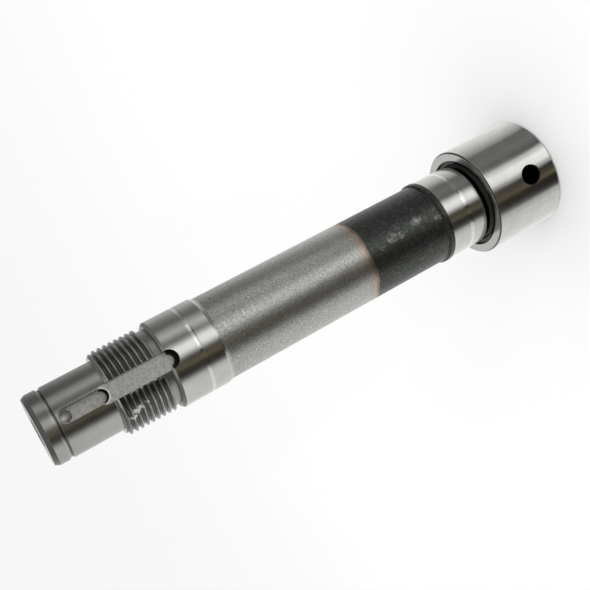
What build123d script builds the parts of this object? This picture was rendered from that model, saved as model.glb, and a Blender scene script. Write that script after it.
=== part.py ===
from build123d import *
import os
from math import radians, tan

# A turned and milled steel machine shaft, made from one bar.
# It stands on the flat end of its head, with the threaded end up.
# Origin: centre of the head's flat end. +Z runs along the shaft's axis, away from the head.
# The key slots are cut on the -Y side.

# ---- lengths along the axis, from the head to the free end (mm) ----
HEAD_LENGTH = 29.6
LOWER_JOURNAL_LENGTH = 17.3
COLLAR_LENGTH = 2.5
BODY_LENGTH = 91.1
UPPER_JOURNAL_LENGTH = 19.5
THREAD_RELIEF_LENGTH = 2.5
THREAD_LENGTH = 17.6
NOSE_LENGTH = 24.1

# ---- diameters (mm) ----
HEAD_DIAMETER = 41.0
LOWER_JOURNAL_DIAMETER = 31.0
COLLAR_DIAMETER = 31.6
BODY_DIAMETER = 30.2
UPPER_JOURNAL_DIAMETER = 31.4
THREAD_RELIEF_DIAMETER = 27.4
THREAD_DIAMETER = 30.0
NOSE_DIAMETER = 25.0

# ---- turned edges (mm) ----
HEAD_EDGE_CHAMFER = 0.45
COLLAR_RAMP = 0.9
UPPER_JOURNAL_TAPER = 1.6
UPPER_JOURNAL_CHAMFER = 0.9
THREAD_CHAMFER = 1.4
NOSE_CHAMFER_LENGTH = 1.6
NOSE_CHAMFER_DEPTH = 0.8

# ---- corner undercut where the lower journal meets the head (mm) ----
UNDERCUT_WIDTH = 2.2
UNDERCUT_DEPTH = 0.9
UNDERCUT_FACE_REACH = 1.65
UNDERCUT_FACE_DEPTH = 1.0

# ---- retaining-ring groove near the free end (mm) ----
RING_GROOVE_SETBACK = 5.1
RING_GROOVE_WIDTH = 1.3
RING_GROOVE_DIAMETER = 23.9

# ---- metric fine thread (mm, degrees) ----
THREAD_PITCH = 2.0
THREAD_ANGLE = 60.0
THREAD_DEPTH = 0.6134 * THREAD_PITCH
THREAD_CREST_FLAT = THREAD_PITCH / 8
THREAD_START_TURN = 140.0
THREAD_CUTTER_OVERLAP = 0.3

# ---- slot for the lock washer's tongue, through the thread (mm) ----
TONGUE_SLOT_WIDTH = 6.5
TONGUE_SLOT_FLOOR = 11.7
TONGUE_SLOT_LENGTH = 28.6
TONGUE_SLOT_SETBACK = 19.6

# ---- key slot in the nose (mm) ----
KEY_SLOT_WIDTH = 5.0
KEY_SLOT_FLOOR = 8.2
KEY_SLOT_LENGTH = 17.0
KEY_SLOT_SETBACK = 6.8
DRILL_MARK_DIAMETER = 4.1
DRILL_POINT_ANGLE = 118.0

# ---- cross hole in the head (mm, degrees) ----
CROSS_HOLE_DIAMETER = 7.2
CROSS_HOLE_DEPTH = 13.0
CROSS_HOLE_HEIGHT = 11.4
CROSS_HOLE_TURN = -9.0

# ---- turning centres in both ends (mm) ----
CENTRE_PILOT_DIAMETER = 5.0
CENTRE_MOUTH_DIAMETER = 10.6
CENTRE_PILOT_DEPTH = 10.0
CENTRE_ANGLE = 60.0

# ---- heights of the steps above the head's flat end ----
head_top = HEAD_LENGTH
collar_bottom = head_top + LOWER_JOURNAL_LENGTH
body_bottom = collar_bottom + COLLAR_LENGTH
upper_journal_bottom = body_bottom + BODY_LENGTH
relief_bottom = upper_journal_bottom + UPPER_JOURNAL_LENGTH
thread_bottom = relief_bottom + THREAD_RELIEF_LENGTH
nose_bottom = thread_bottom + THREAD_LENGTH
nose_top = nose_bottom + NOSE_LENGTH


def turned_blank():
    """Half the section, walked from the head's flat end up to the free end, then spun.

    The threaded length is only its core here: its ridges are added by threaded_length.
    """
    head_r = HEAD_DIAMETER / 2
    lower_r = LOWER_JOURNAL_DIAMETER / 2
    collar_r = COLLAR_DIAMETER / 2
    body_r = BODY_DIAMETER / 2
    upper_r = UPPER_JOURNAL_DIAMETER / 2
    relief_r = THREAD_RELIEF_DIAMETER / 2
    nose_r = NOSE_DIAMETER / 2
    ring_r = RING_GROOVE_DIAMETER / 2
    ring_top = nose_top - RING_GROOVE_SETBACK
    ring_bottom = ring_top - RING_GROOVE_WIDTH
    outline = [
        (0, 0),
        (head_r - HEAD_EDGE_CHAMFER, 0),
        (head_r, HEAD_EDGE_CHAMFER),
        (head_r, head_top - HEAD_EDGE_CHAMFER),
        (head_r - HEAD_EDGE_CHAMFER, head_top),
        (lower_r, head_top),
        (lower_r, collar_bottom),
        (collar_r, collar_bottom),
        (collar_r, body_bottom - COLLAR_RAMP),
        (body_r, body_bottom),
        (body_r, upper_journal_bottom),
        (upper_r, upper_journal_bottom + UPPER_JOURNAL_TAPER),
        (upper_r, relief_bottom - UPPER_JOURNAL_CHAMFER),
        (upper_r - UPPER_JOURNAL_CHAMFER, relief_bottom),
        (relief_r, relief_bottom),
        (relief_r, nose_bottom),
        (nose_r, nose_bottom),
        (nose_r, ring_bottom),
        (ring_r, ring_bottom),
        (ring_r, ring_top),
        (nose_r, ring_top),
        (nose_r, nose_top - NOSE_CHAMFER_LENGTH),
        (nose_r - NOSE_CHAMFER_DEPTH, nose_top),
        (0, nose_top),
    ]
    section = make_face(Polyline(*outline, close=True))
    return revolve(Plane.XZ * section, axis=Axis.Z)


def corner_undercut():
    """Ring cut into both the lower journal and the head's shoulder, with round corners."""
    inner = LOWER_JOURNAL_DIAMETER / 2 - UNDERCUT_DEPTH
    outer = LOWER_JOURNAL_DIAMETER / 2 + UNDERCUT_FACE_REACH
    low = head_top - UNDERCUT_FACE_DEPTH
    high = head_top + UNDERCUT_WIDTH
    block = Pos((inner + outer) / 2, (low + high) / 2) * Rectangle(outer - inner, high - low)
    round_corner = block.vertices().sort_by(Axis.X)[:2].sort_by(Axis.Y)[0]
    section = fillet(round_corner, UNDERCUT_DEPTH)
    return revolve(Plane.XZ * section, axis=Axis.Z)


def turning_centre():
    """A drilled pilot with a conical seat, its mouth up at the origin."""
    seat_depth = (CENTRE_MOUTH_DIAMETER - CENTRE_PILOT_DIAMETER) / 2 / tan(radians(CENTRE_ANGLE / 2))
    tip_depth = CENTRE_PILOT_DIAMETER / 2 / tan(radians(DRILL_POINT_ANGLE / 2))
    outline = [
        (0, 0),
        (CENTRE_MOUTH_DIAMETER / 2, 0),
        (CENTRE_PILOT_DIAMETER / 2, -seat_depth),
        (CENTRE_PILOT_DIAMETER / 2, -CENTRE_PILOT_DEPTH),
        (0, -CENTRE_PILOT_DEPTH - tip_depth),
    ]
    return revolve(Plane.XZ * make_face(Polyline(*outline, close=True)), axis=Axis.Z)


def round_ended_slot(width, length, setback, floor):
    """An end-milled slot on the -Y side, its floor at the given height above the axis."""
    middle = nose_top - setback - length / 2
    reach = UPPER_JOURNAL_DIAMETER / 2 - floor + 1
    floor_plane = Plane(origin=(0, -floor, middle), x_dir=(0, 0, 1), z_dir=(0, -1, 0))
    return extrude(floor_plane * SlotOverall(length, width), amount=reach)


def drill_mark():
    """The point of the starting drill, left in the upper end of the key slot's floor."""
    tip_depth = DRILL_MARK_DIAMETER / 2 / tan(radians(DRILL_POINT_ANGLE / 2))
    height = nose_top - KEY_SLOT_SETBACK - KEY_SLOT_WIDTH / 2
    cone = Cone(DRILL_MARK_DIAMETER / 2, 0, tip_depth, align=(Align.CENTER, Align.CENTER, Align.MIN))
    return Pos(0, -KEY_SLOT_FLOOR, height) * Rot(-90, 0, 0) * cone


def cross_hole():
    """A blind radial hole in the head, with a drilled bottom."""
    radius = CROSS_HOLE_DIAMETER / 2
    head_r = HEAD_DIAMETER / 2
    tip_depth = radius / tan(radians(DRILL_POINT_ANGLE / 2))
    bore = Cylinder(radius, CROSS_HOLE_DEPTH + 1, align=(Align.CENTER, Align.CENTER, Align.MIN))
    tip = Cone(0, radius, tip_depth, align=(Align.CENTER, Align.CENTER, Align.MAX))
    drill = Pos(0, 0, head_r - CROSS_HOLE_DEPTH) * (bore + tip)
    return Pos(0, 0, CROSS_HOLE_HEIGHT) * Rot(0, 0, CROSS_HOLE_TURN) * Rot(90, 0, 0) * drill


def thread_groove():
    """The helical 60 degree groove, from clear of the nose down into the thread relief."""
    root_r = THREAD_DIAMETER / 2 - THREAD_DEPTH
    outer_r = THREAD_DIAMETER / 2 + THREAD_CUTTER_OVERLAP
    half_mouth = (THREAD_PITCH - THREAD_CREST_FLAT) / 2
    slope = tan(radians(THREAD_ANGLE / 2))
    half_root = half_mouth - THREAD_DEPTH * slope
    half_outer = half_mouth + (outer_r - THREAD_DIAMETER / 2) * slope
    start = relief_bottom + THREAD_RELIEF_LENGTH / 2
    height = nose_bottom + THREAD_PITCH - start
    path = Helix(THREAD_PITCH, height, root_r, center=(0, 0, start))
    profile = Plane(origin=path @ 0, x_dir=(1, 0, 0), z_dir=path % 0) * make_face(
        Polyline(
            (0, -half_root),
            (outer_r - root_r, -half_outer),
            (outer_r - root_r, half_outer),
            (0, half_root),
            close=True,
        )
    )
    return Rot(0, 0, THREAD_START_TURN) * sweep(profile, path=path, is_frenet=True)


def threaded_length():
    """The full-size cylinder of the thread with its lead-in chamfer, less the helical groove."""
    outer_r = THREAD_DIAMETER / 2
    outline = [
        (0, thread_bottom),
        (outer_r, thread_bottom),
        (outer_r, nose_bottom - THREAD_CHAMFER),
        (outer_r - THREAD_CHAMFER, nose_bottom),
        (0, nose_bottom),
    ]
    blank = revolve(Plane.XZ * make_face(Polyline(*outline, close=True)), axis=Axis.Z)
    return blank - thread_groove()


shaft = turned_blank() + threaded_length()
shaft -= corner_undercut()
shaft -= round_ended_slot(TONGUE_SLOT_WIDTH, TONGUE_SLOT_LENGTH, TONGUE_SLOT_SETBACK, TONGUE_SLOT_FLOOR)
shaft -= round_ended_slot(KEY_SLOT_WIDTH, KEY_SLOT_LENGTH, KEY_SLOT_SETBACK, KEY_SLOT_FLOOR)
shaft -= drill_mark()
shaft -= cross_hole()
shaft -= Pos(0, 0, nose_top) * turning_centre()
shaft -= Rot(180, 0, 0) * turning_centre()

os.makedirs("parts", exist_ok=True)
export_step(shaft, "parts/stepped_shaft.step")
print("solids", len(shaft.solids()), "volume", round(shaft.volume), "box", shaft.bounding_box())
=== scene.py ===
"""Stepped steel shaft, dressed for a studio picture: turned, threaded and milled in one mesh."""

import bmesh
import bpy
from math import cos, degrees, pi, radians, sin, sqrt, tan
from mathutils import Matrix, Vector


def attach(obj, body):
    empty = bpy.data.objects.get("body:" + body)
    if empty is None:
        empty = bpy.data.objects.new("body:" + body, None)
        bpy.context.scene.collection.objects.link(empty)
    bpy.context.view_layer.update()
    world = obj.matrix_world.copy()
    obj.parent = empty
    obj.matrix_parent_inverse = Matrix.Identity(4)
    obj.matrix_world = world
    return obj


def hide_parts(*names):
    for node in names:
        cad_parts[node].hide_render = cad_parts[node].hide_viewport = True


MM = 0.001
TO_MM = 1 / MM

# ---- the shaft's sizes, in mm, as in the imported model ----
HEAD_LENGTH = 29.6
LOWER_JOURNAL_LENGTH = 17.3
COLLAR_LENGTH = 2.5
BODY_LENGTH = 91.1
UPPER_JOURNAL_LENGTH = 19.5
THREAD_RELIEF_LENGTH = 2.5
THREAD_LENGTH = 17.6
NOSE_LENGTH = 24.1
HEAD_R = 20.5
LOWER_JOURNAL_R = 15.5
COLLAR_R = 15.8
BODY_R = 15.1
UPPER_JOURNAL_R = 15.7
THREAD_RELIEF_R = 13.7
THREAD_R = 15.0
NOSE_R = 12.5
HEAD_EDGE_CHAMFER = 0.45
COLLAR_RAMP = 0.9
UPPER_JOURNAL_TAPER = 1.6
UPPER_JOURNAL_CHAMFER = 0.9
THREAD_CHAMFER = 1.4
NOSE_CHAMFER_LENGTH = 1.6
NOSE_CHAMFER_DEPTH = 0.8
UNDERCUT_WIDTH = 2.2
UNDERCUT_DEPTH = 0.9
UNDERCUT_FACE_REACH = 1.65
UNDERCUT_FACE_DEPTH = 1.0
RING_GROOVE_SETBACK = 5.1
RING_GROOVE_WIDTH = 1.3
RING_GROOVE_R = 11.95
THREAD_PITCH = 2.0
THREAD_DEPTH = 0.6134 * THREAD_PITCH
THREAD_START_TURN = 140.0
TONGUE_SLOT = {"width": 6.5, "length": 28.6, "setback": 19.6, "floor": 11.7}
KEY_SLOT = {"width": 5.0, "length": 17.0, "setback": 6.8, "floor": 8.2}
DRILL_MARK_R = 2.05
DRILL_POINT_SLOPE = tan(radians(59))
CROSS_HOLE_R = 3.6
CROSS_HOLE_DEPTH = 13.0
CROSS_HOLE_HEIGHT = 11.4
CROSS_HOLE_TURN = -9.0
CENTRE_PILOT_R = 2.5
CENTRE_MOUTH_R = 5.3
CENTRE_PILOT_DEPTH = 10.0

# ---- heights of the steps above the floor, in mm ----
HEAD_TOP = HEAD_LENGTH
COLLAR_BOTTOM = HEAD_TOP + LOWER_JOURNAL_LENGTH
BODY_BOTTOM = COLLAR_BOTTOM + COLLAR_LENGTH
UPPER_JOURNAL_BOTTOM = BODY_BOTTOM + BODY_LENGTH
RELIEF_BOTTOM = UPPER_JOURNAL_BOTTOM + UPPER_JOURNAL_LENGTH
THREAD_BOTTOM = RELIEF_BOTTOM + THREAD_RELIEF_LENGTH
NOSE_BOTTOM = THREAD_BOTTOM + THREAD_LENGTH
NOSE_TOP = NOSE_BOTTOM + NOSE_LENGTH

# ---- polished tracks worn into the journals: bottom and top height, depth, in mm ----
LOWER_TRACK = (37.6, 39.1, 0.05)
UPPER_TRACK = (147.9, 149.3, 0.05)
TRACK_DEEPEST = 0.25

# ---- knocked crests of the thread: height mm, angle deg, half length mm, half width deg, depth mm ----
NICKS = [
    (175.0, -131.0, 1.5, 4.5, 0.75),
    (173.6, -128.0, 1.2, 3.0, 0.6),
    (176.6, -139.0, 1.3, 4.0, 0.6),
    (170.9, -125.0, 0.7, 2.5, 0.4),
]
NICK_FLOOR = 0.3
NICK_LEAST_RIDGE = 0.4

# ---- mesh fineness ----
COLUMNS = 224
EDGE_EASE = 0.12
EDGE_STEPS = 4
SUPPORT_GAP = 0.05
EASE_SHARE = 0.3
THREAD_STEP = 0.125
THREAD_FIRST_ROW = 3
THREAD_END_GAP = 0.3
THREAD_WALL_GAP = 0.5
THREAD_END_SLACK = 0.01
THREAD_WALL_SLACK = 0.02
CREST_EASE = 0.05
CREST_EASE_SHARE = 0.3
SPUN_STEPS = 64
HOLE_STEPS = 96
SLOT_END_STEPS = 32
ON_AXIS = 1e-6
MERGE_DISTANCE = 1e-7
SHARP_ANGLE = 26

# ---- how far the cutters stand proud of the steel, and the cross hole's broken edge, in mm ----
SLOT_PROUD = 1
MARK_PROUD = 0.4
HOLE_PROUD = 2
HOLE_EDGE = 0.18
HOLE_FLARE = 4 * HOLE_EDGE

# ---- camera: where it stands round the shaft, how high, and how it is turned ----
CAMERA_AZIMUTH = -92.2
CAMERA_DISTANCE = 305.2
CAMERA_HEIGHT = 214.64
CAMERA_AIM = (-0.3, 0.0, 106.56)
CAMERA_ROLL = 118.33
CAMERA_LENS = 56.39
CAMERA_SENSOR = 36
CAMERA_CLIP = 0.01


# ------------------------------------------------------------------ the mesh
def turned_corners():
    """(radius, height) corners of the section, from the foot's centre to the nose's centre."""
    undercut_r = LOWER_JOURNAL_R - UNDERCUT_DEPTH
    face_r = LOWER_JOURNAL_R + UNDERCUT_FACE_REACH
    ring_top = NOSE_TOP - RING_GROOVE_SETBACK
    ring_bottom = ring_top - RING_GROOVE_WIDTH
    seat_depth = (CENTRE_MOUTH_R - CENTRE_PILOT_R) * sqrt(3)
    tip_depth = CENTRE_PILOT_R / DRILL_POINT_SLOPE
    return [
        (0, CENTRE_PILOT_DEPTH + tip_depth),
        (CENTRE_PILOT_R, CENTRE_PILOT_DEPTH),
        (CENTRE_PILOT_R, seat_depth),
        (CENTRE_MOUTH_R, 0),
        (HEAD_R - HEAD_EDGE_CHAMFER, 0),
        (HEAD_R, HEAD_EDGE_CHAMFER),
        (HEAD_R, HEAD_TOP - HEAD_EDGE_CHAMFER),
        (HEAD_R - HEAD_EDGE_CHAMFER, HEAD_TOP),
        (face_r, HEAD_TOP),
        (face_r, HEAD_TOP - UNDERCUT_FACE_DEPTH),
        (undercut_r + UNDERCUT_DEPTH, HEAD_TOP - UNDERCUT_FACE_DEPTH),
        (undercut_r, HEAD_TOP - UNDERCUT_FACE_DEPTH + UNDERCUT_DEPTH),
        (undercut_r, HEAD_TOP + UNDERCUT_WIDTH),
        (LOWER_JOURNAL_R, HEAD_TOP + UNDERCUT_WIDTH),
        *track_corners(LOWER_JOURNAL_R, *LOWER_TRACK),
        (LOWER_JOURNAL_R, COLLAR_BOTTOM),
        (COLLAR_R, COLLAR_BOTTOM),
        (COLLAR_R, BODY_BOTTOM - COLLAR_RAMP),
        (BODY_R, BODY_BOTTOM),
        (BODY_R, UPPER_JOURNAL_BOTTOM),
        (UPPER_JOURNAL_R, UPPER_JOURNAL_BOTTOM + UPPER_JOURNAL_TAPER),
        *track_corners(UPPER_JOURNAL_R, *UPPER_TRACK),
        (UPPER_JOURNAL_R, RELIEF_BOTTOM - UPPER_JOURNAL_CHAMFER),
        (UPPER_JOURNAL_R - UPPER_JOURNAL_CHAMFER, RELIEF_BOTTOM),
        (THREAD_RELIEF_R, RELIEF_BOTTOM),
        (THREAD_RELIEF_R, THREAD_BOTTOM),
        (THREAD_R, THREAD_BOTTOM),
        (THREAD_R, NOSE_BOTTOM - THREAD_CHAMFER),
        (THREAD_R - THREAD_CHAMFER, NOSE_BOTTOM),
        (NOSE_R, NOSE_BOTTOM),
        (NOSE_R, ring_bottom),
        (RING_GROOVE_R, ring_bottom),
        (RING_GROOVE_R, ring_top),
        (NOSE_R, ring_top),
        (NOSE_R, NOSE_TOP - NOSE_CHAMFER_LENGTH),
        (NOSE_R - NOSE_CHAMFER_DEPTH, NOSE_TOP),
        (CENTRE_MOUTH_R, NOSE_TOP),
        (CENTRE_PILOT_R, NOSE_TOP - seat_depth),
        (CENTRE_PILOT_R, NOSE_TOP - CENTRE_PILOT_DEPTH),
        (0, NOSE_TOP - CENTRE_PILOT_DEPTH - tip_depth),
    ]


def track_corners(radius, bottom, top, depth):
    """A very shallow worn groove with a sloping floor."""
    return [(radius, bottom), (radius - depth, bottom + TRACK_DEEPEST * (top - bottom)), (radius, top)]


def eased_section(corners):
    """Rounds every corner a little, and adds a row beside each one so that long faces shade true."""
    rows = [corners[0]]
    for before, corner, after in zip(corners, corners[1:], corners[2:]):
        a, p, b = Vector(before), Vector(corner), Vector(after)
        ease = min(EDGE_EASE, (a - p).length * EASE_SHARE, (b - p).length * EASE_SHARE)
        start = p + (a - p).normalized() * ease
        end = p + (b - p).normalized() * ease
        rows.append(start + (a - p).normalized() * min(SUPPORT_GAP, ease))
        for step in range(EDGE_STEPS + 1):
            t = step / EDGE_STEPS
            rows.append(start * (1 - t) ** 2 + p * 2 * t * (1 - t) + end * t ** 2)
        rows.append(end + (b - p).normalized() * min(SUPPORT_GAP, ease))
    rows.append(corners[-1])
    return [(r, z) for r, z in rows]


def thread_rows(rows):
    """Adds the many rows that the helical ridges need along the threaded length."""
    top = NOSE_BOTTOM - THREAD_CHAMFER
    count = round((top - THREAD_BOTTOM) / THREAD_STEP)
    rises = [(top - THREAD_BOTTOM) * k / count for k in range(THREAD_FIRST_ROW, count)]
    flat = [(THREAD_R, THREAD_BOTTOM + rise) for rise in rises]
    steps = round(THREAD_CHAMFER / THREAD_STEP)
    drops = [THREAD_CHAMFER * k / steps for k in range(1, steps)]
    ramp = [(THREAD_R - drop, top + drop) for drop in drops]
    low, high = THREAD_BOTTOM + THREAD_END_GAP, NOSE_BOTTOM - THREAD_END_GAP
    inside = [row for row in rows if low < row[1] < high and row[0] > NOSE_R + THREAD_WALL_GAP]
    first = rows.index(inside[0])
    kept = [row for row in rows if row not in inside]
    return kept[:first] + flat + [(THREAD_R, top)] + ramp + kept[first:]


def thread_radius(height, angle):
    """Radius of the 60 degree ridge at a height (mm) and an angle (radians), crest and root eased."""
    start = RELIEF_BOTTOM + THREAD_RELIEF_LENGTH / 2
    phase = (height - start) / THREAD_PITCH - (angle - radians(THREAD_START_TURN)) / (2 * pi)
    off_root = abs((phase + 0.5) % 1.0 - 0.5) * THREAD_PITCH
    root_r = THREAD_R - THREAD_DEPTH
    half_root = THREAD_PITCH * 7 / 16 - THREAD_DEPTH * tan(radians(30))
    rise = (off_root - half_root) / tan(radians(30))
    rise = max(0.0, min(THREAD_DEPTH, rise))
    rounding = CREST_EASE * (1 - abs(rise / THREAD_DEPTH * 2 - 1) ** 0.5)
    return root_r + rise - rounding * CREST_EASE_SHARE


def crest_nick(height, angle):
    """How far a knocked crest is pressed in, in mm."""
    depth = 0.0
    for nick_height, nick_angle, half_long, half_round, deep in NICKS:
        turn = degrees(angle) - nick_angle
        turn = (turn + 180) % 360 - 180
        away = ((height - nick_height) / half_long) ** 2 + (turn / half_round) ** 2
        if away < 1:
            depth = max(depth, deep * (1 - away) ** 0.5)
    return depth


def ring_radius(r, height, angle):
    """The section's radius, pushed in to the ridges and knocks where the shaft is threaded."""
    low, high = THREAD_BOTTOM - THREAD_END_SLACK, NOSE_BOTTOM - THREAD_END_SLACK
    if not (low < height < high and r > THREAD_RELIEF_R + THREAD_WALL_SLACK):
        return r
    radius = min(r, thread_radius(height, angle))
    if radius > THREAD_RELIEF_R + NICK_LEAST_RIDGE:
        radius = max(THREAD_RELIEF_R + NICK_FLOOR, radius - crest_nick(height, angle))
    return radius


def join_rings(bm, rings, count):
    """Faces between neighbouring rings of points. A ring of one point closes an end."""
    for low, high in zip(rings, rings[1:]):
        for k in range(count):
            n = (k + 1) % count
            corners = [low[k % len(low)], low[n % len(low)], high[n % len(high)], high[k % len(high)]]
            bm.faces.new(list(dict.fromkeys(corners)))


def turned_mesh():
    """Spins the section into the shaft's outside, before the slots and the hole are cut."""
    bm = bmesh.new()
    rings = []
    for r, z in thread_rows(eased_section(turned_corners())):
        if r < ON_AXIS:
            rings.append([bm.verts.new((0, 0, z * MM))])
            continue
        ring = []
        for column in range(COLUMNS):
            angle = 2 * pi * column / COLUMNS
            radius = ring_radius(r, z, angle)
            ring.append(bm.verts.new((radius * cos(angle) * MM, radius * sin(angle) * MM, z * MM)))
        rings.append(ring)
    join_rings(bm, rings, COLUMNS)
    bmesh.ops.remove_doubles(bm, verts=bm.verts, dist=MERGE_DISTANCE)
    bmesh.ops.dissolve_degenerate(bm, edges=bm.edges, dist=MERGE_DISTANCE)
    bmesh.ops.recalc_face_normals(bm, faces=bm.faces)
    mesh = bpy.data.meshes.new("shaft_finished")
    bm.to_mesh(mesh)
    bm.free()
    return mesh


def prism(name, outline, depth, place):
    """A closed cutter: an outline in its own XY plane, pushed along +Z by depth (mm), then placed."""
    bm = bmesh.new()
    low = [bm.verts.new((x * MM, y * MM, 0)) for x, y in outline]
    high = [bm.verts.new((x * MM, y * MM, depth * MM)) for x, y in outline]
    bm.faces.new(list(reversed(low)))
    bm.faces.new(high)
    for k in range(len(outline)):
        n = (k + 1) % len(outline)
        bm.faces.new((low[k], low[n], high[n], high[k]))
    return cutter(name, bm, place)


def spun(name, section, place, steps=SPUN_STEPS):
    """A closed cutter of revolution about its own Z: section is (radius, height) in mm."""
    bm = bmesh.new()
    rings = []
    for r, z in section:
        if r < ON_AXIS:
            rings.append([bm.verts.new((0, 0, z * MM))])
        else:
            turn = [2 * pi * k / steps for k in range(steps)]
            rings.append([bm.verts.new((r * cos(a) * MM, r * sin(a) * MM, z * MM)) for a in turn])
    join_rings(bm, rings, steps)
    return cutter(name, bm, place)


def cutter(name, bm, place):
    bmesh.ops.recalc_face_normals(bm, faces=bm.faces)
    mesh = bpy.data.meshes.new(name)
    bm.to_mesh(mesh)
    bm.free()
    mesh.transform(place)
    piece = bpy.data.objects.new(name, mesh)
    bpy.context.collection.objects.link(piece)
    return piece


def slot_cutter(name, width, length, setback, floor):
    """Round-ended slot on the -Y side. Its local X runs up the shaft and its local Z points out."""
    middle = NOSE_TOP - setback - length / 2
    reach = UPPER_JOURNAL_R - floor + SLOT_PROUD
    half = (length - width) / 2
    outline = []
    for end, first in ((half, -pi / 2), (-half, pi / 2)):
        for k in range(SLOT_END_STEPS + 1):
            a = first + pi * k / SLOT_END_STEPS
            outline.append((end + width / 2 * cos(a), width / 2 * sin(a)))
    place = Matrix.Translation((0, -floor * MM, middle * MM)) @ Matrix(
        ((0, -1, 0, 0), (0, 0, -1, 0), (1, 0, 0, 0), (0, 0, 0, 1))
    )
    return prism(name, outline, reach, place)


def make_cutters():
    tip = DRILL_MARK_R / DRILL_POINT_SLOPE
    mark_height = NOSE_TOP - KEY_SLOT["setback"] - KEY_SLOT["width"] / 2
    outward = Matrix.Rotation(radians(90), 4, "X")
    mark = spun(
        "drill_mark",
        [(0, -tip), (DRILL_MARK_R, 0), (DRILL_MARK_R, MARK_PROUD), (0, MARK_PROUD)],
        Matrix.Translation((0, -KEY_SLOT["floor"] * MM, mark_height * MM)) @ outward,
    )
    hole_tip = CROSS_HOLE_R / DRILL_POINT_SLOPE
    bottom = HEAD_R - CROSS_HOLE_DEPTH
    mouth = sqrt(HEAD_R ** 2 - CROSS_HOLE_R ** 2)
    lifted = Matrix.Translation((0, 0, CROSS_HOLE_HEIGHT * MM))
    turned = Matrix.Rotation(radians(CROSS_HOLE_TURN), 4, "Z")
    hole = spun(
        "cross_hole",
        [
            (0, bottom - hole_tip),
            (CROSS_HOLE_R, bottom),
            (CROSS_HOLE_R, mouth - HOLE_EDGE),
            (CROSS_HOLE_R + HOLE_FLARE, mouth - HOLE_EDGE + HOLE_FLARE),
            (CROSS_HOLE_R + HOLE_FLARE, HEAD_R + HOLE_PROUD),
            (0, HEAD_R + HOLE_PROUD),
        ],
        lifted @ turned @ outward,
        steps=HOLE_STEPS,
    )
    return [slot_cutter("tongue_slot", **TONGUE_SLOT), slot_cutter("key_slot", **KEY_SLOT), mark, hole]


def build_shaft():
    shaft = bpy.data.objects.new("shaft_finished", turned_mesh())
    bpy.context.collection.objects.link(shaft)
    shaft.data.materials.append(steel_material())
    cutters = make_cutters()
    milled, drilled = milled_material(), drilled_material()
    for piece in cutters:
        piece.data.materials.append(drilled if piece.name == "cross_hole" else milled)
        cut = shaft.modifiers.new(piece.name, "BOOLEAN")
        cut.object = piece
        cut.material_mode = "TRANSFER"
        cut.operation = "DIFFERENCE"
        cut.solver = "EXACT"
    bpy.context.view_layer.update()
    evaluated = shaft.evaluated_get(bpy.context.evaluated_depsgraph_get())
    mesh = bpy.data.meshes.new_from_object(evaluated)
    shaft.modifiers.clear()
    shaft.data = mesh
    for piece in cutters:
        bpy.data.objects.remove(piece)
    mesh.shade_smooth()
    mesh.set_sharp_from_angle(angle=radians(SHARP_ANGLE))
    return shaft


# ------------------------------------------------------------------ node helpers
class Nodes:
    """Short calls for building a node tree."""

    def __init__(self, tree):
        self.tree = tree

    def add(self, kind, **values):
        node = self.tree.nodes.new(kind)
        for key, value in values.items():
            setattr(node, key, value)
        return node

    def link(self, source, target):
        self.tree.links.new(source, target)

    def put(self, socket, value):
        if isinstance(value, bpy.types.NodeSocket):
            self.link(value, socket)
        else:
            socket.default_value = value

    def math(self, operation, a, b=0.0):
        node = self.add("ShaderNodeMath", operation=operation)
        for socket, value in zip(node.inputs, (a, b)):
            self.put(socket, value)
        return node.outputs[0]

    def product(self, first, *others):
        for other in others:
            first = self.math("MULTIPLY", first, other)
        return first

    def length(self, a, b):
        return self.math("SQRT", self.math("ADD", self.product(a, a), self.product(b, b)))

    def noise(self, vector, scale, detail=2.0, roughness=0.5):
        node = self.add("ShaderNodeTexNoise")
        self.link(vector, node.inputs["Vector"])
        node.inputs["Scale"].default_value = scale
        node.inputs["Detail"].default_value = detail
        node.inputs["Roughness"].default_value = roughness
        return node.outputs["Fac"]

    def step(self, value, low, high):
        node = self.add("ShaderNodeMapRange", interpolation_type="SMOOTHSTEP", clamp=True)
        self.put(node.inputs["Value"], value)
        self.put(node.inputs["From Min"], low)
        self.put(node.inputs["From Max"], high)
        return node.outputs["Result"]

    def blend(self, factor, a, b):
        node = self.add("ShaderNodeMix", data_type="RGBA", clamp_factor=True)
        self.put(node.inputs["Factor"], factor)
        self.put(node.inputs["A"], a)
        self.put(node.inputs["B"], b)
        return node.outputs["Result"]

    def mix_value(self, factor, a, b):
        node = self.add("ShaderNodeMix", data_type="FLOAT", clamp_factor=True)
        self.put(node.inputs["Factor"], factor)
        self.put(node.inputs["A"], a)
        self.put(node.inputs["B"], b)
        return node.outputs["Result"]

    def scaled(self, vector, x, y, z):
        node = self.add("ShaderNodeVectorMath", operation="MULTIPLY")
        self.link(vector, node.inputs[0])
        node.inputs[1].default_value = (x, y, z)
        return node.outputs["Vector"]


def band(n, height, low, high, soft):
    """1 between two heights in mm, 0 outside."""
    return n.product(n.step(height, low - soft, low + soft), n.step(height, high + soft, high - soft))


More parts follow.
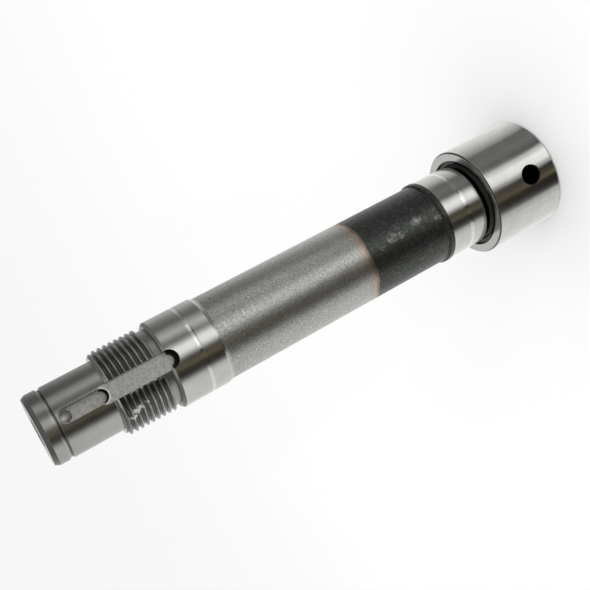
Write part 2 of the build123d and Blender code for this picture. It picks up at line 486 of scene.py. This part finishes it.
# ------------------------------------------------------------------ the steel
# ---- colours, linear ----
GROUND = (0.50, 0.50, 0.485, 1)
NOSE = (0.42, 0.42, 0.405, 1)
TURNED = (0.40, 0.40, 0.385, 1)
DULL = (0.20, 0.20, 0.19, 1)
FLECK = (0.72, 0.72, 0.70, 1)
# Pale bare metal in the scratches, and a painted highlight on the tongue slot's floor beside the key
# slot's end
BARE_METAL_AND_HIGHLIGHT = (0.85, 0.85, 0.83, 1)
BRUISE = (0.95, 0.95, 0.93, 1)
TRACK = (0.60, 0.60, 0.585, 1)
RELIEF = (0.24, 0.24, 0.23, 1)
NOSE_END = (0.10, 0.10, 0.095, 1)
# Near-black: grime in the pit, and painted shade, with some grime, in the thread roots, the ring groove,
# the undercut and the head's top edge
GRIME_AND_SHADE = (0.05, 0.05, 0.048, 1)
STRAW = (0.36, 0.29, 0.20, 1)
BROWN = (0.26, 0.14, 0.075, 1)
VIOLET = (0.09, 0.075, 0.10, 1)
OXIDE = (0.052, 0.056, 0.052, 1)
OXIDE_FLECK = (0.17, 0.18, 0.175, 1)
OXIDE_WORN = (0.15, 0.16, 0.155, 1)
OXIDE_SCUFFED = (0.34, 0.35, 0.34, 1)
MILLED_PALE = (0.52, 0.52, 0.505, 1)
MILLED_DARK = (0.34, 0.34, 0.33, 1)
# Painted shade, with some grime, on the slot floors at their lower ends, where the end walls shade them
SLOT_GRIME_AND_SHADE = (0.03, 0.03, 0.03, 1)
# Painted shade inside the cross hole, with old oil: its wall is near-black
HOLE_DARK = (0.012, 0.012, 0.011, 1)
HOLE_PALE = (0.03, 0.03, 0.028, 1)

# ---- noises: scale, detail, roughness ----
GRAIN = (2300.0, 4.0, 0.7)
FLECKS = (3200.0, 2.0, 0.6)
MOTTLE = (180.0, 4.0, 0.6)
STREAKS = (420.0, 5.0, 0.75)
STREAK_STRETCH = (1.5, 1.5, 1.0)
WORN = (620.0, 4.0, 0.7)
MILLED_GRAIN = (1300.0, 4.0, 0.65)

# ---- rings left by the turning tool: spacing in mm, and how quickly they change round the shaft ----
TOOL_SPACING = 0.12
TOOL_DRIFT = 60

# ---- roughness, and how deep the bumps are in metres ----
GROUND_ROUGHNESS = 0.19
MOTTLE_ROUGHNESS = 0.05
MILLED_ROUGHNESS = 0.46
DRILLED_ROUGHNESS = 0.5
BUMP_DISTANCE = 0.00006

# ---- the oxide's upper edge and how far it wanders, in mm ----
OXIDE_TOP = 80.6
OXIDE_WANDER = 4.0

# Heat tints above that edge: bottom and top above it, softness, strength and colour
HEAT_TINTS = [
    (0.4, 3.2, 1.6, 0.55, STRAW),
    (-0.1, 1.1, 0.6, 0.75, BROWN),
    (-0.7, 0.1, 0.35, 0.8, VIOLET),
]

# Where handling has left pale scuffs: height in mm, angle in degrees, half sizes in mm and degrees
SCUFFS = [
    (70.2, -88.0, 2.6, 8.0),
    (66.6, -90.0, 1.8, 6.0),
    (58.8, -83.0, 2.6, 7.0),
    (50.5, -93.0, 1.6, 5.0),
    (75.0, -95.0, 1.4, 4.0),
]

# Light scratches on the body, and one dark pit, as in SCUFFS
SCRATCHES = [
    (137.7, -84.0, 0.16, 5.0),
    (132.2, -76.5, 0.14, 3.0),
    (130.3, -80.0, 0.16, 5.5),
    (118.0, -112.0, 0.14, 4.0),
    (104.0, -96.0, 0.16, 4.0),
]
PITS = [
    (136.7, -39.5, 0.35, 1.6),
]

# Burrs along the tongue slot's edge, as in SCUFFS
BURRS = [
    (174.2, -104.2, 0.45, 1.6),
    (172.4, -105.0, 0.35, 2.0),
    (170.6, -103.8, 0.5, 1.3),
    (168.2, -104.4, 0.4, 1.8),
    (165.9, -104.0, 0.5, 2.2),
    (164.1, -105.6, 0.3, 2.4),
]


class Space:
    """A point on the shaft: height, radius, depth towards -Y and x in mm, and angle in degrees."""

    def __init__(self, n):
        self.place = n.add("ShaderNodeTexCoord").outputs["Object"]
        split = n.add("ShaderNodeSeparateXYZ")
        n.link(self.place, split.inputs[0])
        x, y = split.outputs["X"], split.outputs["Y"]
        self.height = n.product(split.outputs["Z"], TO_MM)
        self.radius = n.product(n.length(x, y), TO_MM)
        self.angle = n.product(n.math("ARCTAN2", y, x), 180 / pi)
        self.depth = n.product(y, -TO_MM)
        self.across = n.product(x, TO_MM)


def tool_marks(n, at):
    """Fine rings left by the tool: they change along the section and hardly at all round the shaft."""
    along = n.math("ADD", at.height, at.radius)
    ring = n.add("ShaderNodeCombineXYZ")
    n.link(n.math("DIVIDE", along, TOOL_SPACING), ring.inputs["Z"])
    drift = n.add("ShaderNodeVectorMath", operation="ADD")
    n.link(ring.outputs[0], drift.inputs[0])
    n.link(n.scaled(at.place, TOOL_DRIFT, TOOL_DRIFT, 0), drift.inputs[1])
    return n.noise(drift.outputs["Vector"], 1.0, 3.0)


def spots(n, at, places):
    """One on every listed spot (height mm, angle deg, half sizes in mm and deg), nothing elsewhere."""
    total = None
    for at_height, at_angle, half_height, half_angle, *_ in places:
        up = n.math("DIVIDE", n.math("SUBTRACT", at.height, at_height), half_height)
        turn = n.math("DIVIDE", n.math("SUBTRACT", at.angle, at_angle), half_angle)
        away = n.math("ADD", n.product(up, up), n.product(turn, turn))
        spot = n.step(away, 1.0, 0.5)
        total = spot if total is None else n.math("MAXIMUM", total, spot)
    return total


def finish_steel(n, colour, rough, bump_height, strength):
    bump = n.add("ShaderNodeBump")
    bump.inputs["Strength"].default_value = strength
    bump.inputs["Distance"].default_value = BUMP_DISTANCE
    n.link(bump_height, bump.inputs["Height"])
    shader = n.add("ShaderNodeBsdfPrincipled")
    shader.inputs["Metallic"].default_value = 1.0
    n.put(shader.inputs["Base Color"], colour)
    n.put(shader.inputs["Roughness"], rough)
    n.link(bump.outputs["Normal"], shader.inputs["Normal"])
    n.link(shader.outputs[0], n.add("ShaderNodeOutputMaterial").inputs["Surface"])


def blank_material(name):
    material = bpy.data.materials.new(name)
    material.use_nodes = True
    material.node_tree.nodes.clear()
    return material, Nodes(material.node_tree)


def finish_masks(n, at):
    """Where each machined finish and each patch of painted shade lies, 1 there and 0 elsewhere. Heights
    and radii in mm.
    """
    ring_bottom = NOSE_TOP - RING_GROOVE_SETBACK - RING_GROOVE_WIDTH
    ring_middle = NOSE_TOP - RING_GROOVE_SETBACK - 0.5 * RING_GROOVE_WIDTH
    nose_edge = NOSE_TOP - NOSE_CHAMFER_LENGTH
    face_r = LOWER_JOURNAL_R + UNDERCUT_FACE_REACH
    face_floor = HEAD_TOP - UNDERCUT_FACE_DEPTH
    edge_r = HEAD_R - HEAD_EDGE_CHAMFER

    threaded = band(n, at.height, THREAD_BOTTOM, NOSE_BOTTOM - 0.3, 0.3)
    ring = band(n, at.height, ring_bottom, ring_middle, 0.1)
    corner = band(n, at.height, face_floor - 0.1, HEAD_TOP + UNDERCUT_WIDTH - 0.05, 0.04)
    edge = band(n, at.height, HEAD_TOP - HEAD_EDGE_CHAMFER, HEAD_TOP - 0.04, 0.03)
    lower, upper = (band(n, at.height, *track[:2], 0.03) for track in (LOWER_TRACK, UPPER_TRACK))
    return {
        "body": band(n, at.height, BODY_BOTTOM - COLLAR_RAMP, UPPER_JOURNAL_BOTTOM + 0.9, 0.4),
        "nose": n.step(at.height, THREAD_BOTTOM - 0.2, NOSE_BOTTOM),
        "threaded": threaded,
        "roots": n.product(threaded, n.step(at.radius, THREAD_R - 0.3, THREAD_R - 1.15)),
        "ring": n.product(ring, n.step(at.radius, NOSE_R - 0.25, NOSE_R - 0.45)),
        "nose_end": n.product(n.step(at.height, nose_edge, nose_edge + 0.1), n.step(at.radius, 5.0, 5.4)),
        "bruised": spots(n, at, NICKS + BURRS),
        "relief": band(n, at.height, RELIEF_BOTTOM - UPPER_JOURNAL_CHAMFER, THREAD_BOTTOM + 0.2, 0.1),
        "undercut": n.product(corner, n.step(at.radius, face_r + 0.05, face_r - 0.05)),
        "edge": n.product(edge, n.step(at.radius, edge_r, edge_r + 0.05)),
        "track": n.math("ADD", lower, upper),
    }


def steel_material():
    """Ground seats, a rougher turned body, heat tint and black oxide next to the collar."""
    material, n = blank_material("turned_steel")
    at = Space(n)
    grain, flecks, mottle = (n.noise(at.place, *kind) for kind in (GRAIN, FLECKS, MOTTLE))
    mask = finish_masks(n, at)
    body = mask["body"]

    wander = n.product(n.math("SUBTRACT", n.noise(at.place, 90.0, 4.0), 0.5), OXIDE_WANDER)
    heated = n.math("ADD", at.height, wander)
    above_seat = n.step(at.height, COLLAR_BOTTOM - 0.05, COLLAR_BOTTOM + 0.05)
    oxide = n.product(n.step(heated, OXIDE_TOP + 0.1, OXIDE_TOP - 0.4), above_seat)
    streaks = n.step(n.noise(n.scaled(at.place, *STREAK_STRETCH), *STREAKS), 0.40, 0.78)
    worn = n.step(n.noise(at.place, *WORN), 0.50, 0.72)

    # From the bottom layer up: where, how strong, colour
    layers = [
        (body, 1.0, TURNED),
        (mask["nose"], 1.0, NOSE),
        (n.step(mottle, 0.62, 0.40), 0.10, DULL),
        (n.product(body, n.step(grain, 0.48, 0.64)), 1.0, DULL),
        (n.product(body, n.step(flecks, 0.54, 0.68)), 1.0, FLECK),
        (spots(n, at, SCRATCHES), 0.7, BARE_METAL_AND_HIGHLIGHT),
        (spots(n, at, PITS), 1.0, GRIME_AND_SHADE),
        # Painted shade with some grime: the thread roots and the ring groove darkened where shade falls
        # in them
        (mask["roots"], 0.72, GRIME_AND_SHADE),
        (mask["ring"], 0.75, GRIME_AND_SHADE),
        (mask["nose_end"], 0.55, NOSE_END),
        (mask["relief"], 0.7, RELIEF),
        (mask["bruised"], 1.0, BRUISE),
        (mask["track"], 1.0, TRACK),
    ]
    for low, high, soft, strength, tint in HEAT_TINTS:
        layers.append((band(n, heated, OXIDE_TOP + low, OXIDE_TOP + high, soft), strength, tint))
    layers += [
        (oxide, 1.0, OXIDE),
        (n.product(oxide, n.step(flecks, 0.54, 0.70)), 1.0, OXIDE_FLECK),
        (n.product(oxide, worn), 0.6, OXIDE_WORN),
        (n.product(oxide, streaks, spots(n, at, SCUFFS)), 1.0, OXIDE_SCUFFED),
        # Painted shade with some grime: the undercut's corner and the head's top edge chamfer darkened
        (mask["undercut"], 1.0, GRIME_AND_SHADE),
        (mask["edge"], 0.8, GRIME_AND_SHADE),
    ]
    colour = GROUND
    for where, strength, paint in layers:
        colour = n.blend(where if strength == 1.0 else n.product(where, strength), colour, paint)

    rough = GROUND_ROUGHNESS
    for where, value in [
        (body, 0.36),
        (mask["nose"], 0.23),
        (mask["threaded"], 0.30),
        (mask["relief"], 0.34),
        (oxide, 0.42),
        (mask["track"], 0.06),
        (mask["bruised"], 0.55),
    ]:
        rough = n.mix_value(where, rough, value)
    rough = n.math("ADD", rough, n.product(n.math("SUBTRACT", mottle, 0.5), MOTTLE_ROUGHNESS))

    raised = n.product(tool_marks(n, at), n.mix_value(mask["track"], 0.45, 0.05))
    raised = n.math("ADD", raised, n.product(grain, n.mix_value(body, 0.08, 1.0)))
    finish_steel(n, colour, rough, raised, 0.22)
    return material


def slot_end(n, at, slot):
    """How far a point is from the centre of a slot's lower round end, and whether it is below it."""
    centre = NOSE_TOP - slot["setback"] - slot["length"] + slot["width"] / 2
    below = n.math("SUBTRACT", at.height, centre)
    return n.length(at.across, below), n.step(below, -0.1, -0.8)


def milled_material():
    """Duller steel in the slots, with the cutter's marks across it, painted shade with some grime at the
    lower ends, and a painted highlight beside the key slot's end.
    """
    material, n = blank_material("milled_steel")
    at = Space(n)
    grain = n.noise(at.place, *MILLED_GRAIN)
    sweep = n.noise(n.scaled(at.place, 300, 300, 2400), 1.0, 2.0)
    in_key_slot = n.step(at.depth, TONGUE_SLOT["floor"] - 0.05, TONGUE_SLOT["floor"] - 0.15)
    key_away, key_below = slot_end(n, at, KEY_SLOT)
    tongue_away, tongue_below = slot_end(n, at, TONGUE_SLOT)
    # Painted shade with some grime on the floor at both slots' lower ends, where the end walls shade it
    key_grime_and_shade = n.product(n.step(key_away, 1.75, 2.15), key_below, in_key_slot)
    tongue_grime_and_shade = n.product(n.step(tongue_away, 1.6, 2.3), tongue_below)
    # Painted highlight on the tongue slot's floor round the key slot's lower end, standing in for light
    # caught by the slot's broken edge
    painted_lip_highlight = n.product(n.step(key_away, 3.1, 2.9), key_below, n.math("SUBTRACT", 1.0, in_key_slot))
    colour = n.blend(n.step(grain, 0.35, 0.72), MILLED_PALE, MILLED_DARK)
    colour = n.blend(n.product(painted_lip_highlight, 0.7), colour, BARE_METAL_AND_HIGHLIGHT)
    colour = n.blend(n.math("MAXIMUM", key_grime_and_shade, tongue_grime_and_shade), colour, SLOT_GRIME_AND_SHADE)
    raised = n.math("ADD", n.product(grain, 0.9), n.product(sweep, 0.5))
    finish_steel(n, colour, MILLED_ROUGHNESS, raised, 0.35)
    return material


def drilled_material():
    """The cross hole's wall, painted near-black: old oil, and painted shade inside the blind hole."""
    material, n = blank_material("drilled_steel")
    place = n.add("ShaderNodeTexCoord").outputs["Object"]
    rings = n.noise(n.scaled(place, 200, 200, 200), 12.0, 2.0)
    colour = n.blend(n.step(rings, 0.4, 0.7), HOLE_DARK, HOLE_PALE)
    finish_steel(n, colour, DRILLED_ROUGHNESS, rings, 0.2)
    return material


# ------------------------------------------------------------------ the studio
FLOOR_HALF = 40.0
FLOOR_COLOUR = (0.96, 0.96, 0.96, 1)
FLOOR_ROUGHNESS = 0.9
FLOOR_SPECULAR = 0.1
WORLD_LIGHT = 0.97
BACKGROUND_WHITE = 0.93

# ---- the key softbox: turn from the camera in degrees, place and size in mm, power in watts ----
KEY_TURN = 16
KEY_DISTANCE = 900
KEY_HEIGHT = 1100
KEY_SIDE = 900
KEY_POWER = 3.0

# ---- the surround: where its cards start and bend, in mm along the floor and up the wall ----
NEAR_START = 0.5
NEAR_REACH = 120.0
FAR_REACH = 330.0
SURROUND_REACH = 700.0
CARD_LIFT = 0.3
FOOT_TOP = 60.0
MIDDLE_TOP = 180.0
ROOF_START = 700.0
SURROUND_TOP = 1700.0
ROOF_LEVEL = 0.32
WARM = (1.0, 0.84, 0.58)
PLAIN = (1.0, 1.0, 0.985)
# The studio's surround of cards, which only the steel's reflections see. Each row is one fold of it:
# the turn (degrees from the camera's side) of the surface that mirrors the fold, how bright the card is
# on the near floor, the far floor, the wall's foot and the wall's middle, and its tint.
SURROUND = [
    (-84, 1.10, 1.10, 0.65, 0.50, PLAIN),
    (-68, 1.10, 1.00, 0.60, 0.30, PLAIN),
    (-56, 0.85, 0.50, 0.32, 0.14, PLAIN),
    (-49, 0.60, 0.28, 0.22, 0.12, PLAIN),
    (-43, 0.22, 0.20, 0.20, 0.12, PLAIN),
    (-37, 0.24, 0.45, 0.50, 0.42, PLAIN),
    (-30, 0.28, 1.25, 0.75, 0.62, PLAIN),
    (-24, 0.21, 1.00, 0.40, 0.30, PLAIN),
    (-20, 0.15, 0.50, 0.10, 0.14, PLAIN),
    (-15, 1.00, 0.80, 0.55, 0.20, PLAIN),
    (-10, 1.60, 1.55, 1.65, 0.34, PLAIN),
    (-3, 1.50, 1.50, 1.60, 0.62, PLAIN),
    (1, 0.70, 0.75, 0.95, 0.40, PLAIN),
    (5, 0.05, 0.05, 0.12, 0.18, PLAIN),
    (9, 0.10, 0.12, 0.10, 0.18, WARM),
    (14, 0.20, 0.13, 0.22, 0.16, WARM),
    (18, 0.04, 0.07, 0.04, 0.06, WARM),
    (24, 0.04, 0.07, 0.03, 0.04, PLAIN),
    (28, 0.12, 0.40, 0.16, 0.24, PLAIN),
    (32, 0.75, 0.85, 0.80, 0.64, PLAIN),
    (38, 0.98, 0.98, 1.00, 0.85, PLAIN),
    (48, 1.10, 1.05, 1.00, 0.80, PLAIN),
    (62, 1.15, 1.10, 0.98, 0.74, PLAIN),
    (84, 1.15, 1.10, 0.95, 0.74, PLAIN),
]


def floor_material():
    material = bpy.data.materials.new("pale_floor")
    material.use_nodes = True
    shader = material.node_tree.nodes["Principled BSDF"]
    shader.inputs["Base Color"].default_value = FLOOR_COLOUR
    shader.inputs["Roughness"].default_value = FLOOR_ROUGHNESS
    shader.inputs["Specular IOR Level"].default_value = FLOOR_SPECULAR
    return material


def make_floor():
    a = FLOOR_HALF
    mesh = bpy.data.meshes.new("floor")
    mesh.from_pydata([(-a, -a, 0), (a, -a, 0), (a, a, 0), (-a, a, 0)], [], [(0, 1, 2, 3)])
    floor = bpy.data.objects.new("floor", mesh)
    bpy.context.collection.objects.link(floor)
    floor.data.materials.append(floor_material())


def make_world():
    """Soft even light, with a near-white background for the camera and for what metal reflects."""
    world = bpy.data.worlds.new("studio")
    bpy.context.scene.world = world
    world.use_nodes = True
    world.node_tree.nodes.clear()
    n = Nodes(world.node_tree)
    path = n.add("ShaderNodeLightPath")
    seen = n.math("MAXIMUM", path.outputs["Is Camera Ray"], path.outputs["Is Glossy Ray"])
    seen = n.math("MAXIMUM", seen, path.outputs["Is Transmission Ray"])
    background = n.add("ShaderNodeBackground")
    background.inputs["Color"].default_value = (1, 1, 1, 1)
    n.link(n.mix_value(seen, WORLD_LIGHT, BACKGROUND_WHITE), background.inputs["Strength"])
    n.link(background.outputs[0], n.add("ShaderNodeOutputWorld").inputs["Surface"])


def surround_material():
    material, n = blank_material("surround")
    paint = n.add("ShaderNodeVertexColor", layer_name="paint")
    glow = n.add("ShaderNodeEmission")
    n.link(paint.outputs["Color"], glow.inputs["Color"])
    n.link(glow.outputs[0], n.add("ShaderNodeOutputMaterial").inputs["Surface"])
    return material


def mirror_line(turn, reach, radius=BODY_R):
    """The point at a distance (mm) along the line that the surface at this turn mirrors."""
    surface = radians(CAMERA_AZIMUTH - turn)
    away = radians(CAMERA_AZIMUTH - 2 * turn)
    start = Vector((cos(surface), sin(surface))) * radius
    return start + Vector((cos(away), sin(away))) * reach


def make_surround():
    """Cards on the floor and a wall round the shaft, seen by reflections and by nothing else."""
    rows = []
    for turn, near, far, foot, middle, tint in SURROUND:
        wall = mirror_line(turn, SURROUND_REACH)
        rows.append([
            (mirror_line(turn, NEAR_START, HEAD_R), CARD_LIFT, near, tint),
            (mirror_line(turn, NEAR_REACH, HEAD_R), CARD_LIFT, near, tint),
            (mirror_line(turn, FAR_REACH), CARD_LIFT, far, tint),
            (wall, CARD_LIFT, foot, tint),
            (wall, FOOT_TOP, foot, tint),
            (wall, MIDDLE_TOP, middle, tint),
            (wall, ROOF_START, ROOF_LEVEL, PLAIN),
            (wall, SURROUND_TOP, ROOF_LEVEL, PLAIN),
        ])
    deep = len(rows[0])
    flat = [stop for row in rows for stop in row]
    faces = []
    for k in range(len(rows) - 1):
        for j in range(deep - 1):
            a = k * deep + j
            faces.append((a, a + 1, a + 1 + deep, a + deep))
    mesh = bpy.data.meshes.new("surround")
    points = [(spot.x * MM, spot.y * MM, height * MM) for spot, height, _, _ in flat]
    mesh.from_pydata(points, [], faces)
    paint = mesh.color_attributes.new("paint", "FLOAT_COLOR", "POINT")
    for k, (_, _, level, tint) in enumerate(flat):
        paint.data[k].color = (level * tint[0], level * tint[1], level * tint[2], 1)
    surround = bpy.data.objects.new("surround", mesh)
    bpy.context.collection.objects.link(surround)
    surround.data.materials.append(surround_material())
    surround.visible_camera = False
    surround.visible_diffuse = False
    surround.visible_shadow = False
    surround.visible_transmission = False


def make_key_lamp():
    """One softbox beside the camera, aimed at the shaft's middle."""
    lamp = bpy.data.lights.new("key", "AREA")
    lamp.shape = "RECTANGLE"
    lamp.size = KEY_SIDE * MM
    lamp.size_y = KEY_SIDE * MM
    lamp.energy = KEY_POWER
    holder = bpy.data.objects.new("key", lamp)
    bpy.context.collection.objects.link(holder)
    a = radians(CAMERA_AZIMUTH + KEY_TURN)
    holder.location = Vector((KEY_DISTANCE * cos(a), KEY_DISTANCE * sin(a), KEY_HEIGHT)) * MM
    aim = Vector((0, 0, NOSE_TOP * MM / 2)) - holder.location
    holder.rotation_euler = aim.to_track_quat("-Z", "Y").to_euler()
    holder.visible_glossy = False


def make_camera():
    data = bpy.data.cameras.new("camera")
    data.sensor_width = CAMERA_SENSOR
    data.lens = CAMERA_LENS
    data.clip_start = CAMERA_CLIP
    camera = bpy.data.objects.new("camera", data)
    bpy.context.collection.objects.link(camera)
    a = radians(CAMERA_AZIMUTH)
    spot = Vector((CAMERA_DISTANCE * cos(a), CAMERA_DISTANCE * sin(a), CAMERA_HEIGHT))
    camera.location = spot * MM
    look = (Vector(CAMERA_AIM) - spot).to_track_quat("-Z", "Y").to_matrix().to_4x4()
    turned = look @ Matrix.Rotation(radians(-CAMERA_ROLL), 4, "Z")
    camera.rotation_euler = turned.to_euler()
    bpy.context.scene.camera = camera


# ------------------------------------------------------------------ the scene
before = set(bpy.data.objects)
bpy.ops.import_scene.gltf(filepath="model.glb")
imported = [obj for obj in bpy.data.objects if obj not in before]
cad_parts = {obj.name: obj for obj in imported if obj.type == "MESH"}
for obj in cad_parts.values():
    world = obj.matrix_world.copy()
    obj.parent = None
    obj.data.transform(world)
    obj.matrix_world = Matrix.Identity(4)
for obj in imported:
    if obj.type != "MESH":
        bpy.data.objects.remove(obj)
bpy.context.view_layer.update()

shaft = build_shaft()
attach(shaft, "root")
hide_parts("stepped_shaft")

make_floor()
make_world()
make_surround()
make_key_lamp()
make_camera()
bpy.context.scene.view_settings.view_transform = "Standard"
